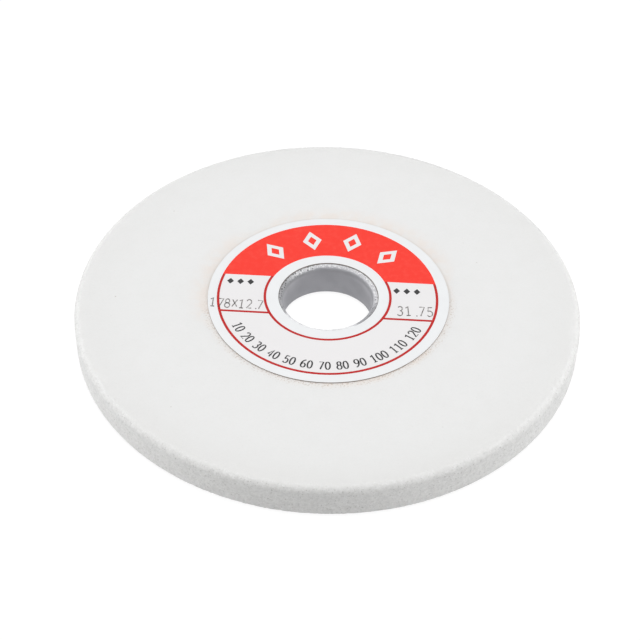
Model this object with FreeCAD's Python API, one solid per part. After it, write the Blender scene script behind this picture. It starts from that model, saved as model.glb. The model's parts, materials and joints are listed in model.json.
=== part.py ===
import FreeCAD, Part
import math
import os

# A straight grinding wheel for a bench or surface grinder, lying on its back face.
# It is a white vitrified abrasive disc with a grey bush moulded into its arbor hole, and a
# paper blotter glued on each face to cushion the clamping flanges. The front blotter carries
# a printed band, two rings and two rules.
#
# All sizes are in millimetres. The bore axis is Z, the wheel's back is down, and the origin
# is on that axis in the plane of the back blotter's outer face. X runs along the printed
# rules and Y towards the printed band.

# Abrasive disc
wheel_diameter = 177.8
wheel_width = 12.7
front_edge_radius = 2.4
back_edge_radius = 1.6

# Moulded bush: its bore takes the spindle, and each mouth is rounded to lead the spindle in
bore_diameter = 31.75
bush_wall = 3.0
mouth_edge_radius = 1.4
mouth_edge_steps = 4

# Paper blotters: the same washer on both faces, the front one glued a little off the bore axis
blotter_diameter = 85.0
blotter_thickness = 0.4
blotter_mouth_clearance = 0.4
front_blotter_shift = 0.3

# Printed face of the front blotter
print_thickness = 0.03
print_outer_margin = 3.5
print_inner_margin = 4.0
ring_line = 0.9
band_edge_y = 9.0
band_middle_degrees = 90.0
rule_y = -10.1
rule_line = 0.9

# Row of lozenges left bare in the printed band, each with a printed heart
lozenge_count = 4
lozenge_spacing_degrees = 28.0
lozenge_length = 10.5
lozenge_width = 7.0
lozenge_stroke = 1.6

# Radii and heights that follow from the sizes above
wheel_radius = wheel_diameter / 2
bore_radius = bore_diameter / 2
bush_radius = bore_radius + bush_wall
mouth_radius = bore_radius + mouth_edge_radius
blotter_radius = blotter_diameter / 2
blotter_hole_radius = mouth_radius + blotter_mouth_clearance
outer_ring_radius = blotter_radius - print_outer_margin
inner_ring_radius = blotter_hole_radius + print_inner_margin
wheel_back_z = blotter_thickness
wheel_front_z = wheel_back_z + wheel_width
paper_front_z = wheel_front_z + blotter_thickness

up = FreeCAD.Vector(0, 0, 1)
quarter_degrees = 90.0


def point(radius, z):
    """A point of a profile, in the plane through the bore axis."""
    return FreeCAD.Vector(radius, 0, z)


def line(start, end):
    return Part.LineSegment(start, end).toShape()


def closed_outline(corners):
    """A face inside straight lines from corner to corner."""
    return Part.Face(Part.makePolygon(corners + corners[:1]))


def turned(profile):
    """The solid that a profile sweeps in one full turn about the bore axis."""
    return profile.revolve(FreeCAD.Vector(0, 0, 0), up, 360)


def around(centre, radius, degrees):
    """The profile point at an angle round a centre, counted from straight outwards."""
    angle = math.radians(degrees)
    return centre + point(radius * math.cos(angle), radius * math.sin(angle))


def quarter_round(centre, radius, first_degrees):
    """A rounded edge, drawn as two arcs that each turn through half of it."""
    half_turn = quarter_degrees / 2
    arcs = []
    for start in (first_degrees, first_degrees + half_turn):
        on_arc = [around(centre, radius, start + half_turn * share) for share in (0, 0.5, 1)]
        arcs.append(Part.Arc(*on_arc).toShape())
    return arcs


def stepped_round(centre, radius, first_degrees):
    """The corners of a small rounded edge that is drawn as equal straight steps."""
    turn = quarter_degrees / mouth_edge_steps
    return [
        around(centre, radius, first_degrees + turn * step) for step in range(mouth_edge_steps + 1)
    ]


def ring(inner_radius, outer_radius, bottom_z, height):
    """A flat washer about the bore axis."""
    base = FreeCAD.Vector(0, 0, bottom_z)
    disc = Part.makeCylinder(outer_radius, height, base, up)
    hole = Part.makeCylinder(inner_radius, height, base, up)
    return disc.cut(hole)


def abrasive_disc():
    """The wheel: flat faces, a plain moulded hole for the bush, and edges rounded by truing."""
    back_centre = point(wheel_radius - back_edge_radius, wheel_back_z + back_edge_radius)
    front_centre = point(wheel_radius - front_edge_radius, wheel_front_z - front_edge_radius)
    back_edge = quarter_round(back_centre, back_edge_radius, -quarter_degrees)
    front_edge = quarter_round(front_centre, front_edge_radius, 0)
    back_face = line(point(bush_radius, wheel_back_z), point(back_centre.x, wheel_back_z))
    rim = line(point(wheel_radius, back_centre.z), point(wheel_radius, front_centre.z))
    front_face = line(point(front_centre.x, wheel_front_z), point(bush_radius, wheel_front_z))
    hole = line(point(bush_radius, wheel_front_z), point(bush_radius, wheel_back_z))
    outline = Part.Wire([back_face, *back_edge, rim, *front_edge, front_face, hole])
    return turned(Part.Face(outline))


def moulded_bush():
    """The bush fills the disc's hole from face to face and is rounded at each mouth."""
    back_centre = point(mouth_radius, wheel_back_z + mouth_edge_radius)
    front_centre = point(mouth_radius, wheel_front_z - mouth_edge_radius)
    outside = [point(bush_radius, wheel_back_z), point(bush_radius, wheel_front_z)]
    front_mouth = stepped_round(front_centre, mouth_edge_radius, quarter_degrees)
    back_mouth = stepped_round(back_centre, mouth_edge_radius, 2 * quarter_degrees)
    return turned(closed_outline(outside + front_mouth + back_mouth))


def blotter(bottom_z, shift_x=0.0):
    """A paper washer whose hole stays clear of the bush's rounded mouth."""
    washer = ring(blotter_hole_radius, blotter_radius, bottom_z, blotter_thickness)
    washer.translate(FreeCAD.Vector(shift_x, 0, 0))
    return washer


def strip_across(low_y, high_y):
    """A straight strip of print as wide as the paper, between two lines along X."""
    corner = FreeCAD.Vector(-blotter_radius, low_y, paper_front_z)
    return Part.makeBox(blotter_diameter, high_y - low_y, print_thickness, corner)


def lozenge(angle_degrees, size):
    """A lozenge standing on the band's centre line, scaled by size, its long way radial."""
    centre_radius = (inner_ring_radius + outer_ring_radius) / 2
    half_length = size * lozenge_length / 2
    half_width = size * lozenge_width / 2
    corners = [
        FreeCAD.Vector(centre_radius + half_length, 0, paper_front_z),
        FreeCAD.Vector(centre_radius, half_width, paper_front_z),
        FreeCAD.Vector(centre_radius - half_length, 0, paper_front_z),
        FreeCAD.Vector(centre_radius, -half_width, paper_front_z),
    ]
    block = closed_outline(corners).extrude(up * print_thickness)
    block.rotate(FreeCAD.Vector(0, 0, 0), up, angle_degrees)
    return block


def bare_lozenges():
    """The row of hollow lozenges that shows paper, spaced evenly about the middle of the band."""
    half_diagonals = (lozenge_length / 2, lozenge_width / 2)
    centre_to_side = half_diagonals[0] * half_diagonals[1] / math.hypot(*half_diagonals)
    heart_size = 1 - lozenge_stroke / centre_to_side
    first_angle = band_middle_degrees - lozenge_spacing_degrees * (lozenge_count - 1) / 2
    row = []
    for place in range(lozenge_count):
        angle = first_angle + place * lozenge_spacing_degrees
        row.append(lozenge(angle, 1).cut(lozenge(angle, heart_size)))
    return row


def printed_face():
    """Two rings, the band that fills the space between them above its edge, and two rules."""
    between_rings = ring(inner_ring_radius, outer_ring_radius, paper_front_z, print_thickness)
    outer_ring = ring(
        outer_ring_radius - ring_line, outer_ring_radius, paper_front_z, print_thickness
    )
    inner_ring = ring(
        inner_ring_radius, inner_ring_radius + ring_line, paper_front_z, print_thickness
    )
    band = between_rings.common(strip_across(band_edge_y, blotter_radius))
    rules = between_rings.common(strip_across(rule_y - rule_line / 2, rule_y + rule_line / 2))
    printed = outer_ring.fuse([inner_ring, band, rules])
    for bare_shape in bare_lozenges():
        printed = printed.cut(bare_shape)
    return printed.removeSplitter()


nodes = {
    "abrasive_wheel": abrasive_disc(),
    "arbor_bush": moulded_bush(),
    "front_blotter": blotter(wheel_front_z, front_blotter_shift),
    "back_blotter": blotter(0),
    "label_print": printed_face(),
}

os.makedirs("parts", exist_ok=True)
for name, shape in nodes.items():
    shape.exportStep(f"parts/{name}.step")
    print(name, len(shape.Solids), "solid(s)", round(shape.Volume, 2), "mm3", shape.isValid())
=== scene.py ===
import json
import math

import bpy
import numpy as np
from mathutils import Matrix, Vector, noise


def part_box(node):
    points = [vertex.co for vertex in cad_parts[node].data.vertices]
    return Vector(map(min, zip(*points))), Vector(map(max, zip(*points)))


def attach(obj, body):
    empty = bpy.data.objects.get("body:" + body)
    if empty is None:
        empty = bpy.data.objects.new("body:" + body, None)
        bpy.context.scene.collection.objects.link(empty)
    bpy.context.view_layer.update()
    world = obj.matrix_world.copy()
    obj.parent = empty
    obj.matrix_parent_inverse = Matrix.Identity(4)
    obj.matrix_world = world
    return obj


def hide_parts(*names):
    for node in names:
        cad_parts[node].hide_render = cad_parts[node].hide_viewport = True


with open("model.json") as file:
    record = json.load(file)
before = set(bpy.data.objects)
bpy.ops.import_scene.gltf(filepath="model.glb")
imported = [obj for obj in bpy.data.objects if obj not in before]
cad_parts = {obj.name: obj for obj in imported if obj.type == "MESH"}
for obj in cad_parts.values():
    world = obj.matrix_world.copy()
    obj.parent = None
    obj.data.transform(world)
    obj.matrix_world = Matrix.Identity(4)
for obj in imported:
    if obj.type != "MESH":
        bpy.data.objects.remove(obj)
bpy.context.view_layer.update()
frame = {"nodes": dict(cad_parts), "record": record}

# A white vitrified grinding wheel lying on its back, with a grey arbor bush and a printed paper
# blotter. Named lengths are in metres and named angles in degrees, in the part's own frame: the
# bore axis is Z, X runs along the printed rules and Y points to the printed band. Seen from
# above, direction 0 is the right side, 90 the far side, 180 the left side and 270 the near side.

MM = 0.001
SEED = 46

# Sizes read from the frame
wheel_low, wheel_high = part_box("abrasive_wheel")
paper_low, paper_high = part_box("front_blotter")
mounts = {mount["name"]: mount for mount in frame["record"]["mounts"]}
wheel_radius = wheel_high[0]
wheel_back = wheel_low[2]
wheel_front = wheel_high[2]
bush_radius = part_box("arbor_bush")[1][0]
bore_radius = mounts["arbor_bore"]["dims"]["r_mm"] * MM
paper_radius = (paper_high[0] - paper_low[0]) / 2
paper_shift = (paper_high[0] + paper_low[0]) / 2
paper_top = paper_high[2]
print_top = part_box("label_print")[1][2]

# Sizes of the solids that a box can't tell
front_edge_radius = 2.4 * MM
back_edge_radius = 1.6 * MM
mouth_edge_radius = 1.4 * MM
mouth_radius = bore_radius + mouth_edge_radius
paper_clearance = 0.4 * MM
paper_hole_radius = mouth_radius + paper_clearance
band_edge_y = 9.0 * MM
outer_ring_radius = 39.0 * MM
inner_ring_radius = 21.675 * MM


# Ring-shaped meshes whose surface is broken up

def smooth_between(low, high, value):
    """0 below low, 1 above high, and an even curve between them."""
    share = np.clip((value - low) / (high - low), 0.0, 1.0)
    return share * share * (3.0 - 2.0 * share)


def noise_where(wanted, points, size, offset=0.0):
    """Soft noise from -1 to 1 whose lumps are about size across, and 0 where it isn't wanted."""
    shift = Vector((offset, offset, offset))
    levels = np.zeros(len(points))
    levels[wanted] = [noise.noise(Vector(p) / size + shift) for p in points[wanted]]
    return levels


def depths_in_disc(points):
    """How deep each point lies under the nearer one of the disc's two faces."""
    return np.minimum(wheel_front - points[:, 2], points[:, 2] - wheel_back)


def turned_mesh(name, profile, steps, displace):
    """A closed ring-shaped mesh from a closed profile of (radius, z), displaced point by point.

    displace takes the points and gives how far each one moves along its outward normal.
    """
    profile = np.array(profile)
    count = len(profile)
    along = np.roll(profile, -1, axis=0) - np.roll(profile, 1, axis=0)
    flat_normals = np.stack([along[:, 1], -along[:, 0]], axis=1)
    flat_normals /= np.linalg.norm(flat_normals, axis=1)[:, None]
    angles = np.linspace(0.0, 2.0 * math.pi, steps, endpoint=False)
    cosines = np.cos(angles)[:, None]
    sines = np.sin(angles)[:, None]
    level = np.ones((steps, 1))

    def turned(section):
        rows = [cosines * section[:, 0], sines * section[:, 0], level * section[:, 1]]
        return np.stack(rows, axis=2).reshape(-1, 3)

    points = turned(profile)
    points = points + turned(flat_normals) * displace(points)[:, None]
    here = np.arange(steps)[:, None] * count + np.arange(count)[None, :]
    next_round = np.roll(here, -1, axis=0)
    corners = [here, next_round, np.roll(next_round, -1, axis=1), np.roll(here, -1, axis=1)]
    quads = np.stack(corners, axis=2).reshape(-1, 4)
    mesh = bpy.data.meshes.new(name)
    mesh.from_pydata(points.tolist(), [], quads.tolist())
    mesh.validate()
    mesh.shade_smooth()
    obj = bpy.data.objects.new(name, mesh)
    bpy.context.scene.collection.objects.link(obj)
    return obj


def arc_points(centre, radius, first, last, steps):
    """Points on an arc of the profile, both ends included."""
    angles = np.radians(np.linspace(first, last, steps + 1))
    return [(centre[0] + radius * math.cos(a), centre[1] + radius * math.sin(a)) for a in angles]


# Abrasive disc

# Steps of its mesh: fine over the rim and its rounded edges, growing inwards over the faces
disc_steps_round = 1400
front_edge_steps = 10
back_edge_steps = 7
face_steps = [step * MM for step in (0.36, 0.75, 1.2, 1.8, 2.6, 4.0, 8.0, 16.0, 28.0)]
row_outside_paper = 1.0 * MM
row_under_paper = 2.0 * MM

# How the grain breaks up the rim, its rounded edges and the strip of face beside them
grain_size = 0.36 * MM
rim_sink = 0.03 * MM
rim_roughness = 0.08 * MM
rim_lump_size = 1.3 * MM
edge_crumbling = 0.12 * MM
edge_chip_size = 0.8 * MM
edge_chip_offset = 7.3
crumbled_strip = 2.2 * MM
crumbled_depths = (0.3 * MM, 2.6 * MM)


def abrasive_profile():
    """Section of the disc, from the back face round the rim to the front face."""
    front_centre = (wheel_radius - front_edge_radius, wheel_front - front_edge_radius)
    back_centre = (wheel_radius - back_edge_radius, wheel_back + back_edge_radius)
    front_edge = arc_points(front_centre, front_edge_radius, 0, 90, front_edge_steps)
    back_edge = arc_points(back_centre, back_edge_radius, -90, 0, back_edge_steps)
    rim_steps = round((front_centre[1] - back_centre[1]) / grain_size)
    rim_heights = np.linspace(back_centre[1], front_centre[1], rim_steps + 1)
    rim = [(wheel_radius, z) for z in rim_heights[1:-1]]
    inner_radii = [paper_radius + row_outside_paper, paper_radius - row_under_paper, bush_radius]
    front_radii = [front_centre[0] - step for step in face_steps] + inner_radii
    back_radii = [back_centre[0] - step for step in face_steps] + inner_radii
    front_face = [(r, wheel_front) for r in front_radii]
    back_face = [(r, wheel_back) for r in reversed(back_radii)]
    return back_face + back_edge + rim + front_edge + front_face


def crumbled(points):
    """How far each point of the disc moves: it sinks below the clean form, most at its edges."""
    rng = np.random.default_rng(SEED)
    radii = np.hypot(points[:, 0], points[:, 1])
    edge_start = wheel_radius - front_edge_radius
    near_rim = smooth_between(edge_start - crumbled_strip, edge_start, radii)
    on_edge = near_rim * (1.0 - smooth_between(*crumbled_depths, depths_in_disc(points)))
    lumps = noise_where(near_rim > 0.0, points, rim_lump_size)
    chips = noise_where(near_rim > 0.0, points, edge_chip_size, edge_chip_offset)
    rough_depth = rim_roughness * rng.random(len(points))
    lump_depth = rim_roughness * (0.5 + 0.5 * lumps)
    chip_depth = edge_crumbling * on_edge * smooth_between(0.1, 0.6, chips)
    return -near_rim * (rim_sink + rough_depth + lump_depth + chip_depth)


def make_abrasive_wheel():
    wheel = turned_mesh("abrasive_grain", abrasive_profile(), disc_steps_round, crumbled)
    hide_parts("abrasive_wheel")
    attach(wheel, "root")
    return wheel


# Arbor bush

# Steps of its mesh: fine over the mouths and the wall beside them, long in the middle of the wall
bush_steps_round = 900
mouth_steps = 14
fine_wall_step = 0.2 * MM
fine_wall_rows = 7
plain_wall_rows = 5

# How its mouths are torn. The tearing fades out between these depths, and between these radii.
torn_depths = (1.0 * MM, 2.4 * MM)
torn_radii = (mouth_radius - 0.2 * MM, mouth_radius + 0.05 * MM)
pit_depth = 0.12 * MM
pit_size = 0.32 * MM
mouth_lump_size = 1.1 * MM
mouth_lump_offset = 3.1


def bush_profile():
    """Section of the bush, from the back mouth round its outside and the front mouth."""
    front_centre = (mouth_radius, wheel_front - mouth_edge_radius)
    back_centre = (mouth_radius, wheel_back + mouth_edge_radius)
    front_mouth = arc_points(front_centre, mouth_edge_radius, 90, 180, mouth_steps)
    back_mouth = arc_points(back_centre, mouth_edge_radius, 180, 270, mouth_steps)
    fine_steps = [row * fine_wall_step for row in range(1, fine_wall_rows + 1)]
    front_heights = [front_centre[1] - step for step in fine_steps]
    back_heights = [back_centre[1] + step for step in reversed(fine_steps)]
    plain_heights = np.linspace(front_heights[-1], back_heights[0], plain_wall_rows + 2)[1:-1]
    wall = [(bore_radius, z) for z in [*front_heights, *plain_heights, *back_heights]]
    outside = [(bush_radius, wheel_back), (bush_radius, wheel_front)]
    return back_mouth + outside + front_mouth + wall


def torn_mouth(points):
    """How far each point of the bush moves: its mouths sink in, pitted and lumpy, as if torn."""
    rng = np.random.default_rng(SEED + 1)
    radii = np.hypot(points[:, 0], points[:, 1])
    on_mouth = 1.0 - smooth_between(*torn_depths, depths_in_disc(points))
    on_mouth *= 1.0 - smooth_between(*torn_radii, radii)
    pits = noise_where(on_mouth > 0.0, points, pit_size)
    lumps = noise_where(on_mouth > 0.0, points, mouth_lump_size, mouth_lump_offset)
    hollows = smooth_between(-0.1, 0.6, pits) + 0.25 * (1.0 + lumps)
    hollows += 0.25 * rng.random(len(points))
    return -pit_depth * on_mouth * hollows


def make_bush():
    bush = turned_mesh("bush_rough_mouth", bush_profile(), bush_steps_round, torn_mouth)
    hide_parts("arbor_bush")
    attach(bush, "root")
    return bush


# Small print and stamped sizes on the front blotter

SIGN_WIDTH = 0.6
degrees_per_step = 15
fewest_steps = 3


def bow(x, y, rx, ry, first, last):
    """Points along part of an ellipse, from one angle to another."""
    steps = max(fewest_steps, round(abs(last - first) / degrees_per_step))
    angles = np.radians(np.linspace(first, last, steps + 1))
    return [(x + rx * math.cos(a), y + ry * math.sin(a)) for a in angles]


# Strokes of each sign in a box SIGN_WIDTH wide and 1 high, from its left foot
SIGNS = {
    "0": [bow(0.3, 0.5, 0.26, 0.46, 90, 450)],
    "1": [[(0.08, 0.80), (0.32, 0.96), (0.32, 0.04)], [(0.12, 0.04), (0.52, 0.04)]],
    "2": [bow(0.3, 0.70, 0.24, 0.26, 165, -35) + [(0.05, 0.04), (0.56, 0.04)]],
    "3": [bow(0.28, 0.74, 0.22, 0.22, 150, -85), bow(0.28, 0.28, 0.26, 0.25, 85, -150)],
    "4": [[(0.42, 0.04), (0.42, 0.96), (0.04, 0.32), (0.58, 0.32)]],
    "5": [[(0.52, 0.95), (0.14, 0.95), (0.11, 0.54)] + bow(0.28, 0.32, 0.26, 0.28, 125, -150)],
    "6": [
        bow(0.56, 0.32, 0.52, 0.66, 95, 175) + [(0.04, 0.30)],
        bow(0.3, 0.30, 0.25, 0.26, 90, 450),
    ],
    "7": [[(0.05, 0.95), (0.55, 0.95), (0.22, 0.04)]],
    "8": [bow(0.3, 0.74, 0.21, 0.22, 90, 450), bow(0.3, 0.28, 0.26, 0.25, 90, 450)],
    "9": [
        bow(0.3, 0.70, 0.25, 0.26, 90, 450),
        bow(0.04, 0.68, 0.52, 0.66, -85, 0) + [(0.56, 0.70)],
    ],
    ".": [[(0.22, 0.04), (0.34, 0.04)]],
    "x": [[(0.05, 0.12), (0.55, 0.88)], [(0.05, 0.88), (0.55, 0.12)]],
}

# The ring of numbers: its strokes are shares of a digit's height, its gap a share of a digit
ring_first_angle = 209.5
ring_last_angle = 334.5
ring_foot_radius = 36.6 * MM
ring_digit_height = 3.8 * MM
ring_narrowing = 0.78
ring_thick_stroke = 0.185
ring_thin_stroke = 0.075
ring_number_gap = 0.75
ring_numbers = [str(10 * step) for step in range(1, 13)]

# The lozenges: half their width and height, how far apart they are, and the middle of each row
lozenge_half_width = 1.2 * MM
lozenge_half_height = 1.5 * MM
lozenge_pitch = 3.6 * MM
lozenge_rows = ((-31.3 * MM, 5.4 * MM), (27.8 * MM, 4.5 * MM))

# The stamp: its line's width, how narrow its signs are, a point's share of the pitch from sign
# to sign, and how far a hand shakes between signs
stamp_line = 0.52 * MM
stamp_narrowing = 0.72
stamp_point_pitch = 0.5
stamp_shake_along = 0.10 * MM
stamp_shake_up = 0.15 * MM
stamp_shake_turn = 2.0
wheel_size_text = f"{2 * wheel_radius / MM:.0f}x{(wheel_front - wheel_back) / MM:.1f}"
bore_size_text = f"{2 * bore_radius / MM:.2f}"


class Ink:
    """Flat solid strokes gathered into one mesh, between the paper and the top of the print."""

    def __init__(self, name):
        self.name = name
        self.points = []
        self.faces = []

    def add_strip(self, left, right):
        """A solid band between two rows of points in the plane of the paper."""
        first = len(self.points)
        count = len(left)
        for z in (paper_top, print_top):
            self.points += [(x, y, z) for x, y in left] + [(x, y, z) for x, y in right]
        low_left, low_right, high_left, high_right = (first + count * row for row in range(4))
        for i in range(count - 1):
            j = i + 1
            self.faces.append((high_left + i, high_right + i, high_right + j, high_left + j))
            self.faces.append((low_left + j, low_right + j, low_right + i, low_left + i))
            self.faces.append((low_left + i, high_left + i, high_left + j, low_left + j))
            self.faces.append((low_right + j, high_right + j, high_right + i, low_right + i))
        end = count - 1
        self.faces.append((low_right, high_right, high_left, low_left))
        self.faces.append((low_left + end, high_left + end, high_right + end, low_right + end))

    def add_stroke(self, path, thick, thin, place):
        """One pen stroke: thick where it runs up the page, thin where it runs across."""
        path = np.array(path, dtype=float)
        along = np.gradient(path, axis=0)
        if np.allclose(path[0], path[-1]):
            along[0] = along[-1] = path[1] - path[-2]
        along /= np.linalg.norm(along, axis=1)[:, None]
        across = np.stack([-along[:, 1], along[:, 0]], axis=1)
        half = (thin + (thick - thin) * np.abs(along[:, 1])) / 2
        left = [place(p) for p in path + across * half[:, None]]
        right = [place(p) for p in path - across * half[:, None]]
        self.add_strip(left, right)

    def finish(self, slot, material):
        mesh = bpy.data.meshes.new(self.name)
        mesh.from_pydata(self.points, [], self.faces)
        mesh.validate()
        mesh.materials.append(material)
        obj = bpy.data.objects.new(self.name, mesh)
        bpy.context.scene.collection.objects.link(obj)
        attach(obj, "root")


def on_page(x, y, height, narrowing, turn):
    """Places a sign's box upright at a point of the label, made narrower and turned a little."""
    cosine = math.cos(math.radians(turn))
    sine = math.sin(math.radians(turn))

    def place(p):
        px = p[0] * height * narrowing
        py = p[1] * height
        return (x + px * cosine - py * sine, y + px * sine + py * cosine)

    return place


def on_ring(angle, foot_radius, height, narrowing):
    """Places a sign's box with its foot on a ring and its head towards the bore."""
    radians = math.radians(angle)
    out = (math.cos(radians), math.sin(radians))
    forward = (-out[1], out[0])

    def place(p):
        px = (p[0] - SIGN_WIDTH / 2) * height * narrowing
        py = foot_radius - p[1] * height
        return (out[0] * py + forward[0] * px, out[1] * py + forward[1] * px)

    return place


def make_ring_of_numbers(material):
    """A scale of plain numbers along the lower half of the label, upright to the bore."""
    ink = Ink("ring_numbers")
    places = sum(map(len, ring_numbers)) + ring_number_gap * (len(ring_numbers) - 1)
    step = (ring_last_angle - ring_first_angle) / (places - 1)
    angle = ring_first_angle
    for number in ring_numbers:
        for digit in number:
            place = on_ring(angle, ring_foot_radius, ring_digit_height, ring_narrowing)
            for stroke in SIGNS[digit]:
                ink.add_stroke(stroke, ring_thick_stroke, ring_thin_stroke, place)
            angle += step
        angle += step * ring_number_gap
    ink.finish("black_print", material)


def make_black_lozenges(material):
    """Three small lozenges at the head of each of the two fields under the band."""
    ink = Ink("field_lozenges")
    for middle_x, y in lozenge_rows:
        for place_in_row in (-1, 0, 1):
            x = middle_x + place_in_row * lozenge_pitch
            left = (x - lozenge_half_width, y)
            right = (x + lozenge_half_width, y)
            foot = (x, y - lozenge_half_height)
            head = (x, y + lozenge_half_height)
            ink.add_strip([left, foot], [left, head])
            ink.add_strip([foot, right], [head, right])
    ink.finish("black_print", material)


def stamp_number(ink, rng, text, left, foot, height, pitch):
    """A row of narrow signs along X from its left foot, stamped one by one by hand."""
    x = left
    for sign in text:
        shake_x, shake_y, shake_turn = rng.normal(0.0, 1.0, 3)
        sign_x = x + shake_x * stamp_shake_along
        sign_y = foot + shake_y * stamp_shake_up
        place = on_page(sign_x, sign_y, height, stamp_narrowing, shake_turn * stamp_shake_turn)
        for stroke in SIGNS[sign]:
            ink.add_stroke(stroke, stamp_line / height, stamp_line / height, place)
        x += pitch * (stamp_point_pitch if sign == "." else 1.0)


def make_stamped_sizes(material):
    """The wheel's own sizes in millimetres, rubber-stamped across the two fields."""
    ink = Ink("stamped_sizes")
    rng = np.random.default_rng(SEED + 2)
    stamp_number(
        ink, rng, wheel_size_text, left=-41.0 * MM, foot=-8.6 * MM, height=4.7 * MM, pitch=2.55 * MM
    )
    stamp_number(
        ink, rng, bore_size_text, left=24.6 * MM, foot=-8.2 * MM, height=5.0 * MM, pitch=3.0 * MM
    )
    ink.finish("black_print", material)


# Materials. A size is how far apart a pattern's lumps or cells are. A pair of numbers is where
# something starts to change and where it has changed. A set of three, such as far_side, is a
# direction, half its width and the width of its fade. A colour has four numbers.

paper_fibre_size = 0.22 * MM
paper_relief = 0.03 * MM

# A Mix node has sockets for each kind of data: these are the places of those for colours
MIX_SHARE = 0
MIX_FIRST = 6
MIX_SECOND = 7
MIX_RESULT = 2


class Shader:
    """A small helper that builds one material's node tree."""

    def __init__(self, name, roughness, specular):
        self.material = bpy.data.materials.new(name)
        self.material.use_nodes = True
        self.tree = self.material.node_tree
        self.tree.nodes.clear()
        output = self.node("ShaderNodeOutputMaterial")
        self.surface = self.node("ShaderNodeBsdfPrincipled")
        self.surface.inputs["Roughness"].default_value = roughness
        self.surface.inputs["Specular IOR Level"].default_value = specular
        self.link(self.surface.outputs["BSDF"], output.inputs["Surface"])
        coordinates = self.node("ShaderNodeTexCoord")
        self.place = coordinates.outputs["Object"]
        self.split = self.node("ShaderNodeSeparateXYZ")
        self.link(self.place, self.split.inputs["Vector"])

    def node(self, kind, **settings):
        made = self.tree.nodes.new(kind)
        for key, value in settings.items():
            setattr(made, key, value)
        return made

    def link(self, source, target):
        self.tree.links.new(source, target)

    def fill(self, socket, value):
        if isinstance(value, bpy.types.NodeSocket):
            self.link(value, socket)
        else:
            socket.default_value = value

    def finish(self, colour, normal):
        """Gives the surface its colour and normal, and hands over the material."""
        self.link(colour, self.surface.inputs["Base Color"])
        self.link(normal, self.surface.inputs["Normal"])
        return self.material

    def math(self, operation, *values):
        made = self.node("ShaderNodeMath", operation=operation)
        for socket, value in zip(made.inputs, values):
            self.fill(socket, value)
        return made.outputs[0]

    def ramp(self, value, low, high, to_low=0.0, to_high=1.0):
        """Takes value from the range low..high to to_low..to_high, smoothly and clamped."""
        made = self.node("ShaderNodeMapRange", interpolation_type="SMOOTHSTEP")
        self.fill(made.inputs["Value"], value)
        self.fill(made.inputs["From Min"], low)
        self.fill(made.inputs["From Max"], high)
        self.fill(made.inputs["To Min"], to_low)
        self.fill(made.inputs["To Max"], to_high)
        return made.outputs["Result"]

    def fade(self, value, low, high):
        """1 below low, 0 above high, and an even curve between them."""
        return self.ramp(value, low, high, to_low=1.0, to_high=0.0)

    def noise(self, size, detail=2.0, roughness=0.5):
        """Noise from 0 to 1 whose lumps are about size across."""
        made = self.node("ShaderNodeTexNoise")
        made.inputs["Scale"].default_value = 1.0 / size
        made.inputs["Detail"].default_value = detail
        made.inputs["Roughness"].default_value = roughness
        self.link(self.place, made.inputs["Vector"])
        return made.outputs["Fac"]

    def cells(self, size):
        """A pattern of cells about size across, such as grains."""
        made = self.node("ShaderNodeTexVoronoi")
        made.inputs["Scale"].default_value = 1.0 / size
        self.link(self.place, made.inputs["Vector"])
        return made

    def from_middle(self, cells):
        """Distance from the nearest cell's middle, as a share of the cells' size."""
        return cells.outputs["Distance"]

    def random_shade(self, cells):
        """A random number from 0 to 1 for each cell."""
        made = self.node("ShaderNodeSeparateColor")
        self.link(cells.outputs["Color"], made.inputs["Color"])
        return made.outputs["Red"]

    def mix(self, share, first, second):
        """The first colour where share is 0, and the second where it is 1."""
        made = self.node("ShaderNodeMix", data_type="RGBA")
        self.fill(made.inputs[MIX_SHARE], share)
        self.fill(made.inputs[MIX_FIRST], first)
        self.fill(made.inputs[MIX_SECOND], second)
        return made.outputs[MIX_RESULT]

    def scaled(self, value, factor):
        return self.math("MULTIPLY", value, factor)

    def both(self, first, second):
        return self.math("MULTIPLY", first, second)

    def either(self, first, second):
        return self.math("MAXIMUM", first, second)

    def radius(self, centre_x=0.0):
        """Distance from an upright axis through centre_x, the bore axis unless told otherwise."""
        x = self.math("SUBTRACT", self.split.outputs["X"], centre_x)
        y = self.split.outputs["Y"]
        squares = self.math("ADD", self.math("MULTIPLY", x, x), self.math("MULTIPLY", y, y))
        return self.math("SQRT", squares)

    def beyond_paper(self):
        """Distance outside the paper's edge."""
        return self.math("SUBTRACT", self.radius(paper_shift), paper_radius)

    def sector(self, direction, half_width, fade):
        """1 within half_width degrees of a direction seen from the bore axis, fading to 0."""
        angle = math.radians(direction)
        along_x = self.scaled(self.split.outputs["X"], math.cos(angle))
        along_y = self.scaled(self.split.outputs["Y"], math.sin(angle))
        toward = self.math("ADD", along_x, along_y)
        turn = self.math("ARCCOSINE", self.math("DIVIDE", toward, self.radius()))
        return self.fade(turn, math.radians(half_width), math.radians(half_width + fade))

    def bump(self, height, strength, distance, under=None):
        """A normal bent by a height, on top of the one under it."""
        made = self.node("ShaderNodeBump")
        made.inputs["Strength"].default_value = strength
        made.inputs["Distance"].default_value = distance
        self.link(height, made.inputs["Height"])
        if under is not None:
            self.link(under, made.inputs["Normal"])
        return made.outputs["Normal"]


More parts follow.
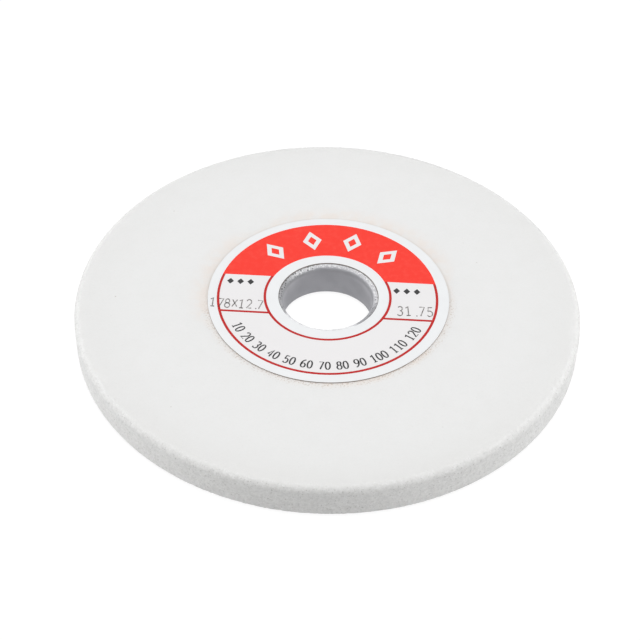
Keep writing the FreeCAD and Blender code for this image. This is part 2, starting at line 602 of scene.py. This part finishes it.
def abrasive_body(s, grains, open_rim):
    """White with faint clouds, a little greyer towards the rim, with painted shade on the near side
    of the rim, grains, and painted shade in its pores and pinholes.
    """
    clean = (0.83, 0.832, 0.828, 1.0)
    bright_grain = (0.92, 0.92, 0.92, 1.0)
    cloud = (0.74, 0.735, 0.72, 1.0)
    pore_shade = (0.57, 0.568, 0.56, 1.0)
    pinhole_shade = (0.34, 0.335, 0.32, 1.0)
    cloud_size = 6.0 * MM
    pore_size = 1.2 * MM
    pinhole_size = 0.60 * MM
    outer_part = (0.74 * wheel_radius, wheel_radius)
    shaded_rim_strip = (0.86 * wheel_radius, 0.99 * wheel_radius)
    pore_strip = (wheel_radius - 2.2 * MM, wheel_radius - 0.3 * MM)
    near_side = (270.0, 30.0, 35.0)
    radius = s.radius()
    clouds = s.ramp(s.noise(cloud_size, detail=3.0), 0.35, 0.75, to_high=0.10)
    colour = s.mix(clouds, clean, cloud)
    colour = s.mix(s.ramp(radius, *outer_part, to_high=0.22), colour, cloud)
    # Painted shade: the strip of face by the rim is greyer on the near side
    near_rim = s.ramp(radius, *shaded_rim_strip, to_high=0.25)
    colour = s.mix(s.both(near_rim, s.sector(*near_side)), colour, cloud)
    bright = s.both(s.ramp(s.random_shade(grains), 0.7, 1.0), open_rim)
    colour = s.mix(s.scaled(bright, 0.6), colour, bright_grain)
    # Painted shade in the pores and pinholes, more of it towards the rim
    deeper_at_rim = s.ramp(radius, *pore_strip, to_low=0.08)
    pores = s.noise(pore_size, detail=3.0, roughness=0.6)
    pores = s.ramp(pores, 0.30, 0.75, to_low=0.18, to_high=0.58)
    colour = s.mix(s.both(pores, deeper_at_rim), colour, pore_shade)
    pinholes = s.ramp(s.noise(pinhole_size, detail=1.0), 0.62, 0.80, to_high=0.6)
    return s.mix(s.both(pinholes, deeper_at_rim), colour, pinhole_shade)


def glue_round_paper(s, colour):
    """Glue that soaked out from under the paper: a narrow rim, one strong streak, two stains."""
    glue = (0.84, 0.755, 0.695, 1.0)
    patch_size = 3.5 * MM
    rim_width = 3.0 * MM
    stain_width = 9.0 * MM
    far_stain = (70.0, 35.0, 30.0)
    left_stain = (168.0, 22.0, 20.0)
    near_streak = (298.0, 16.0, 20.0)
    stains = s.either(s.sector(*far_stain), s.sector(*left_stain))
    width = s.ramp(stains, 0.0, 1.0, to_low=rim_width, to_high=stain_width)
    soaked = s.fade(s.math("DIVIDE", s.beyond_paper(), width), 0.0, 1.0)
    patchy = s.ramp(s.noise(patch_size, detail=3.0), 0.30, 0.65, to_low=0.30)
    thick = s.either(s.scaled(stains, 0.5), s.sector(*near_streak))
    strength = s.both(patchy, s.ramp(thick, 0.0, 1.0, to_low=0.42, to_high=0.85))
    return s.mix(s.both(soaked, strength), colour, glue)


def glue_dirt_and_edge_shade(s, colour):
    """Dirt caught in that glue, as brown specks on the near side, and a soft line of painted shade
    with dirt along the paper on the far side.
    """
    shade_and_dirt = (0.36, 0.31, 0.27, 1.0)
    brown_speck = (0.42, 0.30, 0.205, 1.0)
    speck_size = 0.60 * MM
    line_edge = (0.1 * MM, 1.3 * MM)
    speck_edge = (0.4 * MM, 3.2 * MM)
    far_side = (90.0, 80.0, 30.0)
    near_right = (305.0, 45.0, 25.0)
    near_left = (230.0, 35.0, 20.0)
    beyond_paper = s.beyond_paper()
    # Painted contact shade with some dirt, in a soft line beside the paper's far edge
    line = s.both(s.fade(beyond_paper, *line_edge), s.sector(*far_side))
    colour = s.mix(s.scaled(line, 0.22), colour, shade_and_dirt)
    near_paper = s.fade(beyond_paper, *speck_edge)
    right_specks = s.both(s.sector(*near_right), near_paper)
    left_specks = s.scaled(s.both(s.sector(*near_left), near_paper), 0.85)
    caught = s.ramp(s.noise(speck_size, detail=1.0), 0.56, 0.68)
    specks = s.both(caught, s.either(right_specks, left_specks))
    return s.mix(s.scaled(specks, 0.5), colour, brown_speck)


def loose_dark_grains(s, colour):
    """A few loose dark grains anywhere on the wheel: a dot in about one cell in sixty."""
    dark_grain = (0.30, 0.25, 0.20, 1.0)
    spacing = 2.4 * MM
    one_in_sixty = (0.980, 0.986)
    dot_edge = (0.05, 0.15)
    cells = s.cells(spacing)
    chosen = s.ramp(s.random_shade(cells), *one_in_sixty)
    dot = s.fade(s.from_middle(cells), *dot_edge)
    return s.mix(s.scaled(s.both(chosen, dot), 0.45), colour, dark_grain)


def abrasive_material():
    """White fused grain in a white bond, which truing has left more open on the rim."""
    s = Shader("white_abrasive", roughness=0.85, specular=0.25)
    s.surface.inputs["Subsurface Weight"].default_value = 0.6
    s.surface.inputs["Subsurface Radius"].default_value = (1.0, 1.0, 1.0)
    s.surface.inputs["Subsurface Scale"].default_value = 1.8 * MM
    lump_size = 1.6 * MM
    relief = 0.10 * MM
    grain_slope = (0.0, 0.75)
    open_strip = (wheel_radius - 3.6 * MM, wheel_radius - 0.6 * MM)
    grains = s.cells(grain_size)
    open_rim = s.ramp(s.radius(), *open_strip, to_low=0.12)
    colour = abrasive_body(s, grains, open_rim)
    colour = glue_round_paper(s, colour)
    colour = glue_dirt_and_edge_shade(s, colour)
    colour = loose_dark_grains(s, colour)
    grain_height = s.fade(s.from_middle(grains), *grain_slope)
    coarse = s.bump(s.noise(lump_size), 0.25, relief)
    fine = s.bump(s.both(grain_height, open_rim), 0.6, relief, under=coarse)
    return s.finish(colour, fine)


def bush_wall(s, from_front):
    """Even grey, with a band of painted shade right under the front mouth, least on the far side.
    """
    wall = (0.54, 0.54, 0.57, 1.0)
    wall_cloud = (0.50, 0.50, 0.53, 1.0)
    painted_wall_shade = (0.33, 0.33, 0.35, 1.0)
    cloud_size = 5.0 * MM
    band_top = (0.35 * MM, 0.75 * MM)
    band_foot = (1.3 * MM, 3.0 * MM)
    far_side = (96.0, 18.0, 22.0)
    colour = s.mix(s.ramp(s.noise(cloud_size), 0.35, 0.7), wall, wall_cloud)
    # Painted shade on the wall just under the front mouth
    strength = s.ramp(s.sector(*far_side), 0.0, 1.0, to_low=0.8, to_high=0.4)
    starts = s.both(s.ramp(from_front, *band_top), strength)
    ends = s.fade(from_front, *band_foot)
    return s.mix(s.both(starts, ends), colour, painted_wall_shade)


def torn_surface(s, torn_side):
    """Silvery torn material, pitted at the sides: painted shade darkens its sides and its pits, and
    painted shade with dirt lies where it meets the paper.
    """
    torn = (0.56, 0.56, 0.58, 1.0)
    grit = (0.86, 0.86, 0.87, 1.0)
    side_shade = (0.33, 0.33, 0.345, 1.0)
    pit_shade = (0.05, 0.05, 0.055, 1.0)
    shade_and_dirt = (0.12, 0.11, 0.105, 1.0)
    clean_grit = (0.90, 0.91, 0.92, 1.0)
    grit_size = 0.40 * MM
    pit_spacing = 0.85 * MM
    pit_edge = (0.25, 0.52)
    half_of_them = (0.48, 0.54)
    shade_and_dirt_size = 1.1 * MM
    shade_and_dirt_edge = (0.15 * MM, 0.40 * MM)
    left_side = (184.0, 26.0, 30.0)
    right_side = (330.0, 16.0, 14.0)
    pitted_right = (345.0, 12.0, 12.0)
    near_side = (262.0, 40.0, 12.0)
    colour = s.mix(s.ramp(s.noise(grit_size, detail=1.5), 0.46, 0.60), torn, grit)
    # Painted shade on the left and near-right sides of the mouth
    shaded_sides = s.either(s.scaled(s.sector(*left_side), 0.85), s.sector(*right_side))
    colour = s.mix(shaded_sides, colour, side_shade)

    # Painted shade in pits in about half of the cells, strongest on the torn left and at the right
    pits = s.cells(pit_spacing)
    in_pit = s.fade(s.from_middle(pits), *pit_edge)
    pitted = s.ramp(s.random_shade(pits), *half_of_them)
    pitted_sides = s.either(torn_side, s.sector(*pitted_right))
    strength = s.ramp(pitted_sides, 0.0, 1.0, to_low=0.15, to_high=0.9)
    colour = s.mix(s.both(s.both(pitted, in_pit), strength), colour, pit_shade)

    # Painted shade and dirt in the corner under the paper, and clean grit on the near side, where
    # the mouth is whole
    inside_paper = s.math("SUBTRACT", paper_hole_radius, s.radius(paper_shift))
    under_paper = s.fade(inside_paper, *shade_and_dirt_edge)
    shade_and_dirt_share = s.ramp(s.noise(shade_and_dirt_size), 0.35, 0.60, to_low=0.55, to_high=0.85)
    colour = s.mix(s.both(under_paper, shade_and_dirt_share), colour, shade_and_dirt)
    return s.mix(s.sector(*near_side), colour, clean_grit)


def bush_material():
    """Grey moulding with a smooth bore wall and torn mouths full of white grit."""
    s = Shader("grey_bush", roughness=0.5, specular=0.35)
    tear_size = 1.2 * MM
    torn_relief_size = 0.30 * MM
    torn_relief = 0.12 * MM
    wall_relief_size = 0.8 * MM
    wall_relief = 0.03 * MM
    left_far_side = (156.0, 34.0, 28.0)
    least_reach = 0.1 * MM
    most_reach = 0.6 * MM
    extra_reach = 0.6 * MM
    back_retreat = 0.8 * MM
    blur = 0.35 * MM

    # How far the torn surface reaches down: most on the left, less at the back mouth
    torn_side = s.sector(*left_far_side)
    from_front = s.math("SUBTRACT", wheel_front, s.split.outputs["Z"])
    from_back = s.math("SUBTRACT", s.split.outputs["Z"], wheel_back - back_retreat)
    depth = s.math("MINIMUM", from_front, from_back)
    ragged = s.ramp(s.noise(tear_size, detail=3.0), 0.3, 0.7, least_reach, most_reach)
    reach = s.math("ADD", ragged, s.scaled(torn_side, extra_reach))
    on_mouth = s.fade(s.math("SUBTRACT", depth, reach), -blur, blur)

    colour = s.mix(on_mouth, bush_wall(s, from_front), torn_surface(s, torn_side))
    torn_normal = s.bump(s.both(s.noise(torn_relief_size), on_mouth), 0.7, torn_relief)
    wall_normal = s.bump(s.noise(wall_relief_size), 0.10, wall_relief, under=torn_normal)
    return s.finish(colour, wall_normal)


def paper_material():
    """Coated white blotter paper, faintly fibrous, its cut edges dark with painted shade and old
    glue.
    """
    s = Shader("blotter_paper", roughness=0.6, specular=0.35)
    sheet = (0.850, 0.864, 0.876, 1.0)
    shade = (0.81, 0.818, 0.83, 1.0)
    field = (0.83, 0.812, 0.815, 1.0)
    cut_edge_shade_and_glue = (0.30, 0.26, 0.235, 1.0)
    cloud_size = 7.0 * MM
    fleck_size = 0.35 * MM
    wave_size = 9.0 * MM
    wave_relief = 0.25 * MM
    ring_fade = 0.4 * MM
    radius = s.radius()
    clouds = s.ramp(s.noise(cloud_size, detail=3.0), 0.35, 0.75, to_high=0.5)
    colour = s.mix(clouds, sheet, shade)
    outside_inner_ring = s.ramp(radius, inner_ring_radius, inner_ring_radius + ring_fade)
    inside_outer_ring = s.ramp(radius, outer_ring_radius, outer_ring_radius - ring_fade)
    on_field = s.both(outside_inner_ring, inside_outer_ring)
    colour = s.mix(s.scaled(on_field, 0.8), colour, field)
    flecks = s.ramp(s.noise(fleck_size, detail=3.0), 0.45, 0.8, to_high=0.25)
    colour = s.mix(flecks, colour, shade)

    # The cut edges are the faces that stand upright, darkened with painted shade and old glue
    geometry = s.node("ShaderNodeNewGeometry")
    facing = s.node("ShaderNodeSeparateXYZ")
    s.link(geometry.outputs["True Normal"], facing.inputs["Vector"])
    flatness = s.math("ABSOLUTE", facing.outputs["Z"])
    colour = s.mix(s.ramp(flatness, 0.3, 0.7), cut_edge_shade_and_glue, colour)

    waves = s.bump(s.noise(wave_size, detail=1.0), 0.2, wave_relief, under=fibre_relief(s, 0.15))
    return s.finish(colour, waves)


def fibre_relief(s, strength):
    """A normal bent by the fibres of the paper."""
    return s.bump(s.noise(paper_fibre_size, detail=3.0, roughness=0.6), strength, paper_relief)


def ink_relief(s):
    """The same fibres, a little softer under ink."""
    return fibre_relief(s, 0.12)


def ink_film(s, patch_size, full, thin, thin_share):
    """Colour of uneven printing ink: full where it lies thick, thin where the paper shows."""
    patches = s.ramp(s.noise(patch_size, detail=3.0, roughness=0.6), 0.40, 0.80)
    return s.mix(s.scaled(patches, thin_share), full, thin)


def red_ink_material():
    """Bright red in the band, and a darker, denser red in the rings and rules under it."""
    s = Shader("red_ink", roughness=0.5, specular=0.35)
    full = (0.92, 0.038, 0.022, 1.0)
    thin = (0.94, 0.075, 0.052, 1.0)
    dense = (0.49, 0.010, 0.008, 1.0)
    band_edge = (band_edge_y - 0.08 * MM, band_edge_y + 0.02 * MM)
    band = ink_film(s, patch_size=2.0 * MM, full=full, thin=thin, thin_share=0.5)
    in_band = s.ramp(s.split.outputs["Y"], *band_edge)
    return s.finish(s.mix(in_band, dense, band), ink_relief(s))


def black_ink_material():
    """Black ink with small thin patches."""
    s = Shader("black_ink", roughness=0.5, specular=0.35)
    full = (0.018, 0.018, 0.019, 1.0)
    thin = (0.13, 0.13, 0.135, 1.0)
    colour = ink_film(s, patch_size=0.5 * MM, full=full, thin=thin, thin_share=0.35)
    return s.finish(colour, ink_relief(s))


def stamp_ink_material():
    """Thin grey ink that a worn rubber stamp has left in blots."""
    s = Shader("stamp_ink", roughness=0.6, specular=0.35)
    full = (0.14, 0.125, 0.12, 1.0)
    thin = (0.66, 0.65, 0.64, 1.0)
    colour = ink_film(s, patch_size=0.9 * MM, full=full, thin=thin, thin_share=1.0)
    return s.finish(colour, ink_relief(s))


def dress(obj, material):
    """Gives a piece one material."""
    obj.data.materials.clear()
    obj.data.materials.append(material)


def redress_node(node, material):
    """Gives a solid of the frame a better material without touching its mesh."""
    for material_slot in frame["nodes"][node].material_slots:
        material_slot.material = material


# Studio. The light that reaches the wheel meets a pale floor, and the camera sees a white one.

world_light = 0.30
floor_half = 1.0
floor_gap = 0.02 * MM
floor_white = 0.8
floor_seen_white = 0.13
floor_glow = 0.92

# Each softbox has its place, width, height and power
SOFTBOXES = {
    "overhead": ((0.0, -0.02, 1.3), 0.9, 0.9, 12.3),
    "left": ((-1.28, -0.22, 0.14), 0.8, 0.25, 6.6),
    "right": ((1.28, -0.20, 0.14), 0.8, 0.25, 6.6),
}


def background_rays(tree):
    """1 for rays that show the background to the camera: straight, mirrored or through glass."""
    path = tree.nodes.new("ShaderNodeLightPath")
    straight_or_mirrored = tree.nodes.new("ShaderNodeMath")
    straight_or_mirrored.operation = "MAXIMUM"
    any_of_them = tree.nodes.new("ShaderNodeMath")
    any_of_them.operation = "MAXIMUM"
    tree.links.new(path.outputs["Is Camera Ray"], straight_or_mirrored.inputs[0])
    tree.links.new(path.outputs["Is Glossy Ray"], straight_or_mirrored.inputs[1])
    tree.links.new(straight_or_mirrored.outputs[0], any_of_them.inputs[0])
    tree.links.new(path.outputs["Is Transmission Ray"], any_of_them.inputs[1])
    return any_of_them.outputs[0]


def from_to(tree, share, low, high):
    """low where share is 0 and high where it is 1."""
    level = tree.nodes.new("ShaderNodeMapRange")
    level.inputs["To Min"].default_value = low
    level.inputs["To Max"].default_value = high
    tree.links.new(share, level.inputs["Value"])
    return level.outputs["Result"]


def make_floor():
    """A wide white sheet: it lights the wheel as white paper does, and shows a faint shadow."""
    signs = [(-1, -1), (1, -1), (1, 1), (-1, 1)]
    corners = [(floor_half * x, floor_half * y, 0.0) for x, y in signs]
    mesh = bpy.data.meshes.new("floor")
    mesh.from_pydata(corners, [], [(0, 1, 2, 3)])
    floor = bpy.data.objects.new("floor", mesh)
    floor.location.z = -floor_gap
    bpy.context.scene.collection.objects.link(floor)
    material = bpy.data.materials.new("floor")
    material.use_nodes = True
    tree = material.node_tree
    tree.nodes.clear()
    output = tree.nodes.new("ShaderNodeOutputMaterial")
    matte = tree.nodes.new("ShaderNodeBsdfDiffuse")
    glow = tree.nodes.new("ShaderNodeEmission")
    add = tree.nodes.new("ShaderNodeAddShader")
    seen = background_rays(tree)
    tree.links.new(from_to(tree, seen, floor_white, floor_seen_white), matte.inputs["Color"])
    tree.links.new(from_to(tree, seen, 0.0, floor_glow), glow.inputs["Strength"])
    tree.links.new(matte.outputs[0], add.inputs[0])
    tree.links.new(glow.outputs[0], add.inputs[1])
    tree.links.new(add.outputs[0], output.inputs["Surface"])
    mesh.materials.append(material)


def make_world():
    """An even white studio round the object, plain white where the camera sees it."""
    world = bpy.data.worlds.new("studio")
    bpy.context.scene.world = world
    world.use_nodes = True
    tree = world.node_tree
    tree.nodes.clear()
    output = tree.nodes.new("ShaderNodeOutputWorld")
    background = tree.nodes.new("ShaderNodeBackground")
    background.inputs["Color"].default_value = (1.0, 1.0, 1.0, 1.0)
    strength = from_to(tree, background_rays(tree), world_light, 1.0)
    tree.links.new(strength, background.inputs["Strength"])
    tree.links.new(background.outputs["Background"], output.inputs["Surface"])


def make_softbox(name, place, width, height, power):
    """A rectangular lamp that faces the foot of the wheel's axis."""
    lamp = bpy.data.lights.new(name, "AREA")
    lamp.shape = "RECTANGLE"
    lamp.size = width
    lamp.size_y = height
    lamp.energy = power
    obj = bpy.data.objects.new(name, lamp)
    obj.location = place
    obj.rotation_euler = (-Vector(place)).to_track_quat("-Z", "Y").to_euler()
    bpy.context.scene.collection.objects.link(obj)


# Camera: a long lens a little over half a metre away, looking down at about 43 degrees

camera_focal_length = 87.19
camera_sensor_width = 36.0
camera_clip_start = 10.0 * MM
camera_place = Vector((16.875 * MM, -402.393 * MM, 382.565 * MM))
camera_target = Vector((-1.954 * MM, -12.06 * MM, 13.1 * MM))
camera_roll = 1.077


def make_camera():
    data = bpy.data.cameras.new("camera")
    data.lens = camera_focal_length
    data.sensor_fit = "HORIZONTAL"
    data.sensor_width = camera_sensor_width
    data.clip_start = camera_clip_start
    camera = bpy.data.objects.new("camera", data)
    bpy.context.scene.collection.objects.link(camera)
    looking = (camera_target - camera_place).to_track_quat("-Z", "Y").to_matrix().to_4x4()
    roll = Matrix.Rotation(math.radians(camera_roll), 4, "Z")
    camera.matrix_world = Matrix.Translation(camera_place) @ looking @ roll
    bpy.context.scene.camera = camera


def main():
    make_camera()
    wheel = make_abrasive_wheel()
    dress(wheel, abrasive_material())
    bush = make_bush()
    dress(bush, bush_material())
    paper = paper_material()
    redress_node("front_blotter", paper)
    redress_node("back_blotter", paper)
    redress_node("label_print", red_ink_material())
    black = black_ink_material()
    make_ring_of_numbers(black)
    make_black_lozenges(black)
    make_stamped_sizes(stamp_ink_material())
    make_floor()
    make_world()
    for name, (place, width, height, power) in SOFTBOXES.items():
        make_softbox(name, place, width, height, power)
    bpy.context.scene.view_settings.view_transform = "Standard"


main()
